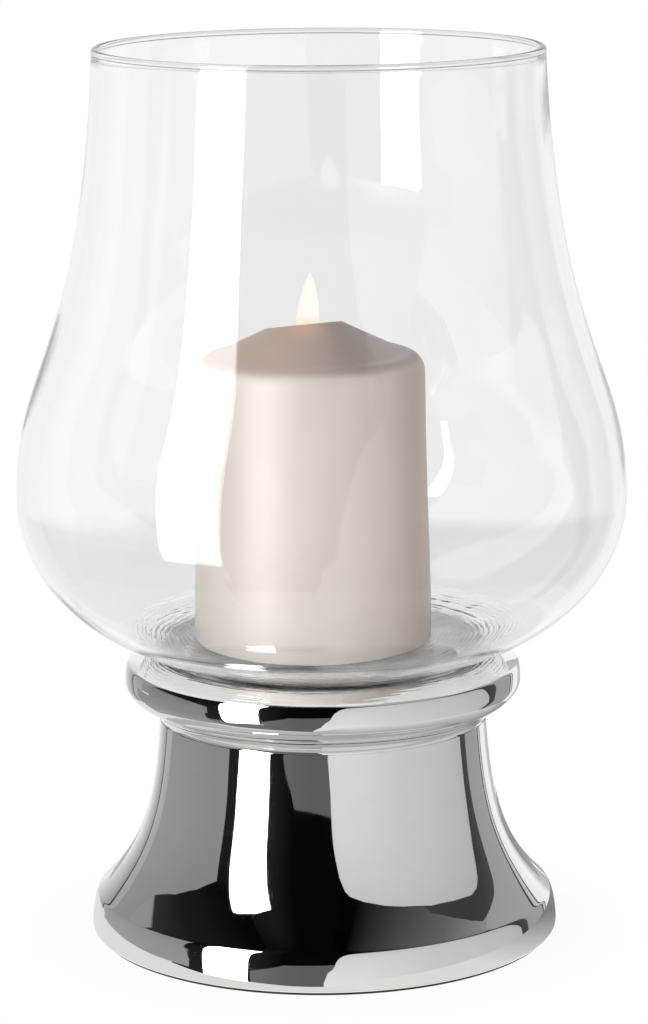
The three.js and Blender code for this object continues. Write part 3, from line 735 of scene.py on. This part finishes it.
# White room: plain white to the camera. In mirror and glass it is greyer to the right, below the
# table's far edge and overhead; sides and heights are parts of the direction of sight.
ROOM_FILL, ROOM_LEFT, ROOM_RIGHT, ROOM_BELOW, ROOM_OVERHEAD = 0.28, 0.97, 0.89, 0.81, 0.15
ROOM_SIDE = 0.09
TABLE_EDGE_LOW, TABLE_EDGE_HIGH = -0.216, -0.208
OVERHEAD_FROM, OVERHEAD_FULL = 0.12, 0.40
room = bpy.data.worlds.new("white_room")
bpy.context.scene.world = room
room.use_nodes = True
tree = room.node_tree
tree.nodes.clear()
view = add(tree, "ShaderNodeSeparateXYZ", {"Vector": add(tree, "ShaderNodeTexCoord").outputs["Generated"]})
sideways = add(tree, "ShaderNodeMapRange", {
    "Value": view.outputs["X"], "From Min": -ROOM_SIDE, "From Max": ROOM_SIDE,
    "To Min": ROOM_LEFT, "To Max": ROOM_RIGHT})
upward = add(tree, "ShaderNodeMapRange", {
    "Value": view.outputs["Z"], "From Min": TABLE_EDGE_LOW, "From Max": TABLE_EDGE_HIGH,
    "To Min": ROOM_BELOW, "To Max": 1.0})
overhead = add(tree, "ShaderNodeMapRange", {
    "Value": view.outputs["Z"], "From Min": OVERHEAD_FROM, "From Max": OVERHEAD_FULL,
    "To Min": upward.outputs[0], "To Max": ROOM_OVERHEAD})
wall = add(tree, "ShaderNodeMath", {0: sideways.outputs[0], 1: overhead.outputs[0]}, operation="MULTIPLY")
path = add(tree, "ShaderNodeLightPath").outputs
bare = add(tree, "ShaderNodeMath", {0: wall.outputs[0], 1: path["Is Camera Ray"]}, operation="MAXIMUM")
level = add(tree, "ShaderNodeMapRange", {
    "Value": plainly_seen(tree), "To Min": ROOM_FILL, "To Max": bare.outputs[0]})
backdrop = add(tree, "ShaderNodeBackground", {
    "Color": colour("#FFFFFF"), "Strength": level.outputs[0]})
add(tree, "ShaderNodeOutputWorld", {"Surface": backdrop.outputs[0]})

# Studio cards: grey, black and white panels standing round the table, and a dark canopy over it.
# Only reflections show them, those in metal and candle in one grey, those in the glass in another.
card_paint, tree = finish_named("studio_card_paint")
path = add(tree, "ShaderNodeLightPath").outputs
grey_level = add(tree, "ShaderNodeMix", {
    "Factor": path["Is Singular Ray"],
    "A": add(tree, "ShaderNodeAttribute", attribute_name="grey").outputs["Fac"],
    "B": add(tree, "ShaderNodeAttribute", attribute_name="glass_grey").outputs["Fac"]})
lit = add(tree, "ShaderNodeEmission", {"Color": colour("#FFFFFF"), "Strength": grey_level.outputs[0]})
mirrored = add(tree, "ShaderNodeMath", {0: path["Glossy Depth"], 1: 0.5}, operation="GREATER_THAN")
back = add(tree, "ShaderNodeNewGeometry").outputs["Backfacing"]
front = add(tree, "ShaderNodeMath", {
    0: mirrored.outputs[0], 1: back}, operation="SUBTRACT", use_clamp=True)
shown = add(tree, "ShaderNodeMixShader", {
    0: front.outputs[0], 1: add(tree, "ShaderNodeBsdfTransparent").outputs[0], 2: lit.outputs[0]})
add(tree, "ShaderNodeOutputMaterial", {"Surface": shown.outputs[0]})
card_paint.cycles.emission_sampling = "NONE"


def sheet(name, glass_grey, bearing, near, far, greys):
    """Strip between two edges, each given as radius and height over a row of bearings, counted
    from the camera towards the right in degrees. Its face is turned to the axis or upwards."""
    turn = np.radians(bearing)
    points = np.vstack([np.stack([radius * np.sin(turn), -radius * np.cos(turn), height + 0 * turn], 1)
                        for radius, height in (near, far)])
    left = np.arange(len(bearing) - 1)
    mesh = bpy.data.meshes.new(name)
    mesh.from_pydata(points.tolist(), [], np.stack(
        [left + len(bearing), left + 1 + len(bearing), left + 1, left], 1).tolist())
    mesh.attributes.new("grey", "FLOAT", "POINT").data.foreach_set("value", np.concatenate(greys))
    mesh.attributes.new("glass_grey", "FLOAT", "POINT").data.foreach_set(
        "value", np.repeat(np.broadcast_to(glass_grey, 2), len(bearing)).astype(float))
    mesh.materials.append(card_paint)
    panel = bpy.data.objects.new(name, mesh)
    bpy.context.scene.collection.objects.link(panel)
    for ray in ("camera", "diffuse", "volume_scatter", "shadow"):
        setattr(panel, "visible_" + ray, False)


def spread(outline):
    """Columns of an outline, run evenly from one entry to the next on a fine row of bearings. An
    entry with one grey has it at both edges."""
    bearing, *columns = np.array([entry + entry[3:4] * (5 - len(entry)) for entry in outline], float).T
    fine = np.unique(np.concatenate([bearing, np.linspace(bearing[0], bearing[-1], 91)]))
    return fine, *(np.interp(fine, bearing, column) for column in columns)


def card(name, distance, glass_grey, *outline):
    """Upright panel at a distance from the axis. The outline lists bearing, lowest and highest
    angle of sight and the grey at these two edges; a height is the distance times the tangent of
    its angle. The glass shows the panel in one grey, or in two from edge to edge."""
    bearing, low, high, *greys = spread(outline)
    rise = [distance * np.tan(np.radians(angle)) for angle in (low, high)]
    sheet(name, glass_grey, bearing, (distance, rise[0]), (distance, rise[1]), greys)


def flat(name, height, glass_grey, *outline):
    """Level sheet at a height. The outline lists bearing, inner and outer radius and the grey at
    these two edges. With the wider radius first it faces downwards."""
    bearing, inside, outside, *greys = spread(outline)
    sheet(name, glass_grey, bearing, (inside, height), (outside, height), greys)


card("softbox_left", 0.85, 6.0, (-60.1, 36, 44, 6.5), (-58.9, 18, 44.6, 6.5), (-57, -7.2, 45.2, 6.5),
     (-46, -7.6, 47, 6.5), (-35.3, -8.2, 45.4, 6.5))
card("softbox_left_foot", 0.85, 0.78, (-57, -22, -7.2, 6.5), (-48.3, -18.6, -7.5, 6.5),
     (-35.3, -12.6, -8.2, 6.5))
card("table_left_front", 0.95, 0.78, (-75, -50, -14, 0.18), (-35, -50, -10, 0.18))
card("backdrop_left_edge", 0.62, 0.9, (-160, -16, 40, 1.0), (-154, -16, 40, 0.8), (-141, -16, 40, 0.5),
     (-135.3, -16, 40, 0.33))
card("backdrop_left_line", 0.61, 0.9, (-135.3, -16, 40, 0.04), (-134.2, -16, 40, 0.04))
card("backdrop_left_band", 0.62, 0.9, (-134.2, -16, 25, 0.52, 0.40), (-120, -16, 25, 0.46, 0.34))
card("card_left_grey", 0.19, 0.9, (-111, -2, 25.1, 0.39, 0.29), (-93.6, -2, 25.1, 0.38, 0.29),
     (-80, -2, 27.8, 0.36, 0.27), (-67.5, -2, 28.3, 0.34, 0.26), (-56.3, -2, 27.1, 0.33, 0.26),
     (-55.3, -2, 10, 0.33, 0.30), (-51.5, -2, 2, 0.33))
card("card_left_grey_far", 0.84, 0.9, (-114, -2, 18, 0.27, 0.25), (-104, -2, 17.2, 0.27, 0.24),
     (-86, -2, 14.6, 0.27, 0.22), (-70.5, -2, 10, 0.27, 0.22), (-66, -2, 8, 0.25, 0.2))
card("card_left_dark", 0.90, 0.6, (-75, -14, 32, 0.02, 0.003), (-50, -14, 36, 0.02, 0.003))
card("card_front_black", 0.92, 0.0, (-50, -12, 72, 0.012, 0.001), (-36, -12, 72, 0.02, 0.001),
     (-20, -13, 72, 0.003, 0.001), (8, -14, 72, 0.002))
card("card_front_dim", 0.58, 0.0, (-33, -16, -1, 0.17), (-28, -16, 1, 0.16), (-24, -16, 2.6, 0.15),
     (-20.5, -16, 4.4, 0.14), (-18.3, -16, 6.2, 0.13), (-9.5, -16, 6.6, 0.12), (6, -16, 7.7, 0.12))
card("card_front_dim_foot", 0.58, (0.78, 0.0), (-36, -55, -14, 0.15), (-16, -55, -16, 0.13),
     (6, -55, -16, 0.12))
card("card_right_light", 0.57, 0.6, (-0.5, -16, -8, 0.86), (1.2, -16, 0, 0.86, 0.80),
     (3.3, -16, 2.8, 0.86, 0.80), (4.2, -16, 5, 0.86, 0.78),
     (4.8, -16, 9.5, 0.86, 0.74), (6.1, -16, 16.4, 0.86, 0.70), (8.9, -16, 27.1, 0.86, 0.66),
     (12.5, -16, 34.5, 0.85, 0.63), (15.7, -16, 37.5, 0.84, 0.62), (25.3, -16, 40.6, 0.80, 0.61),
     (38.4, -16, 42.3, 0.73, 0.60), (50.1, -16, 42, 0.68, 0.58), (68, -16, 39.5, 0.64, 0.55),
     (82.9, -16, 34.4, 0.61, 0.51), (93.4, -16, 30, 0.59, 0.48), (97.1, -16, 26.2, 0.58, 0.47),
     (98.5, -16, 21.8, 0.57, 0.47), (100.3, -16, 10.7, 0.56, 0.48), (103.9, -16, 1, 0.55, 0.5),
     (104.5, -16, -4, 0.55, 0.52))
card("card_right_light_foot", 0.57, (0.78, 0.6), (-7, -55, -48, 0.80), (-4, -55, -33, 0.80),
     (-0.5, -55, -16, 0.84), (3, -55, -16, 0.80, 0.86), (50, -55, -16, 0.76, 0.68),
     (104.5, -55, -16, 0.74, 0.56))
card("card_right_dark", 0.63, 0.2, (64, -30, 41, 0.05), (70, -30, 43.5, 0.05), (85, -30, 42.5, 0.045),
     (96, -30, 40.5, 0.045), (101.8, -30, 38.5, 0.05), (106, -30, 32, 0.06), (109.2, -30, 26, 0.07),
     (111, -30, 20, 0.07))
card("card_right_grey", 0.66, 0.6, (104, -30, 40, 0.34, 0.34), (130, -30, 30, 0.36, 0.40))
card("card_right_rim", 0.65, 0.6, (130, -30, 30, 0.05), (131.3, -30, 30, 0.05))
card("backdrop_right_band", 0.66, 0.9, (131.3, -30, 30, 0.55), (134, -30, 30, 0.6))
card("backdrop_right_line", 0.65, 0.9, (134, -30, 30, 0.1), (135, -30, 30, 0.1))
card("backdrop_right_edge", 0.66, 0.9, (135, -30, 30, 0.9), (144, -30, 30, 1.0),
     (149, -30, 30, 0.6), (158, -30, 30, 0.5))
card("table_far", 1.30, 0.78, (-180, -75, -3, 1.0), (-150, -75, -3, 1.0), (-140, -75, -3, 0.8),
     (140, -75, -3, 0.7), (150, -75, -3, 1.0), (180, -75, -3, 1.0))
flat("table_near", -0.01, 0.78, (-180, 0.1, 0.30, 0.9), (-120, 0.1, 0.30, 0.8), (-60, 0.1, 0.20, 0.8),
     (-45, 0.1, 0.175, 0.8), (-26, 0.1, 0.163, 0.8), (-10, 0.1, 0.15, 0.8), (2, 0.1, 0.1485, 0.8),
     (12, 0.1, 0.2, 0.82), (60, 0.1, 0.25, 0.78), (90, 0.1, 0.25, 0.5), (115, 0.1, 0.25, 0.22),
     (140, 0.1, 0.25, 0.3), (180, 0.1, 0.30, 0.9))
# Painted shadow: a sheet seen only in reflections, whose darker greys stand for the table's shade under the
# bead.
flat("painted_table_shadow_card", 0.022, 0.78, (-180, 0.098, 0.125, 0.55), (-99, 0.098, 0.125, 0.48),
     (-66, 0.098, 0.158, 0.50), (-42, 0.098, 0.134, 0.56), (-6, 0.098, 0.1304, 0.52),
     (2, 0.098, 0.15, 0.48), (13, 0.098, 0.2, 0.46, 0.8), (100, 0.098, 0.2, 0.40, 0.7),
     (130, 0.098, 0.2, 0.3), (180, 0.098, 0.125, 0.6))
card("canopy_left", 1.20, 0.9, (-180, -3, 72, 1.0), (-165, -3, 72, 1.0), (-156, -3, 72, 0.5),
     (-140, -3, 72, 0.33), (-113.5, -3, 72, 0.30), (-112, -3, 72, 0.03),
     (-95, -3, 72, 0.012), (-60, -3, 72, 0.002))
card("canopy_front", 1.20, 0.0, (-60, -3, 72, 0.002), (20, -3, 72, 0.001))
card("canopy_right", 1.20, 0.3, (20, -3, 72, 0.001), (30, -3, 72, 0.015), (45, -3, 72, 0.04),
     (65, -3, 72, 0.08), (85, -3, 72, 0.13), (100, -3, 72, 0.22))
card("canopy_back", 1.20, 0.8, (100, -3, 72, 0.22), (109, -3, 72, 0.3), (125, -3, 72, 0.38),
     (146, -3, 72, 0.48), (158, -3, 72, 0.95), (165, -3, 72, 1.0), (180, -3, 72, 1.0))
flat("canopy_top", 3.69, 1.0, (-180, 1.2, 0.0, 0.55), (180, 1.2, 0.0, 0.55))

# Lamps: three soft boxes for matt light, warm from the right. Reflections show the cards in their
# place. Rays meet many walls of glass and metal, so their paths are long.


def lamp(name, tint, bearing, distance, low, high, width, radiance):
    """Rectangular lamp for matt light at a bearing and distance from the axis, from a low to a high
    edge, facing the axis. Its power is radiance times area times pi."""
    light = bpy.data.lights.new(name, "AREA")
    light.shape = "RECTANGLE"
    light.color = colour(tint)[:3]
    light.size, light.size_y = width, high - low
    light.energy = radiance * width * (high - low) * math.pi
    stand = bpy.data.objects.new(name, light)
    angle = math.radians(bearing)
    stand.location = (distance * math.sin(angle), -distance * math.cos(angle), (low + high) / 2)
    stand.rotation_euler = (math.radians(90), 0, angle)
    stand.visible_camera = stand.visible_glossy = stand.visible_transmission = False
    bpy.context.scene.collection.objects.link(stand)


lamp("lamp_left", "#F4F0F0", bearing=-70, distance=0.70, low=0.45, high=1.05, width=0.5, radiance=1.75)
lamp("lamp_front", "#E4EEFA", bearing=-21, distance=1.5, low=0.1, high=1.3, width=1.5, radiance=6.6)
lamp("lamp_right", "#FFD2B2", bearing=85, distance=0.70, low=0.10, high=0.30, width=0.35, radiance=2.9)
bpy.context.scene.cycles.max_bounces = 24
bpy.context.scene.cycles.glossy_bounces = 12
bpy.context.scene.cycles.transmission_bounces = 24

# Camera: a long lens a little above the rim, tipped down so that the dish and the foot show.
CAMERA_PLACE = (0.00097, -1.6022, 0.5095)
CAMERA_TIP, CAMERA_ROLL = 11.618, -0.39
SENSOR_WIDTH, FOCAL_LENGTH = 36, 136.96
lens = bpy.data.cameras.new("camera")
lens.sensor_width, lens.lens = SENSOR_WIDTH, FOCAL_LENGTH
lens.clip_start, lens.clip_end = 0.05, 50
camera = bpy.data.objects.new("camera", lens)
camera.location = CAMERA_PLACE
level_view = Matrix.Rotation(math.radians(90 - CAMERA_TIP), 3, "X")
camera.rotation_euler = (level_view @ Matrix.Rotation(math.radians(CAMERA_ROLL), 3, "Z")).to_euler()
bpy.context.scene.collection.objects.link(camera)
bpy.context.scene.camera = camera
bpy.context.scene.view_settings.view_transform = "Standard"
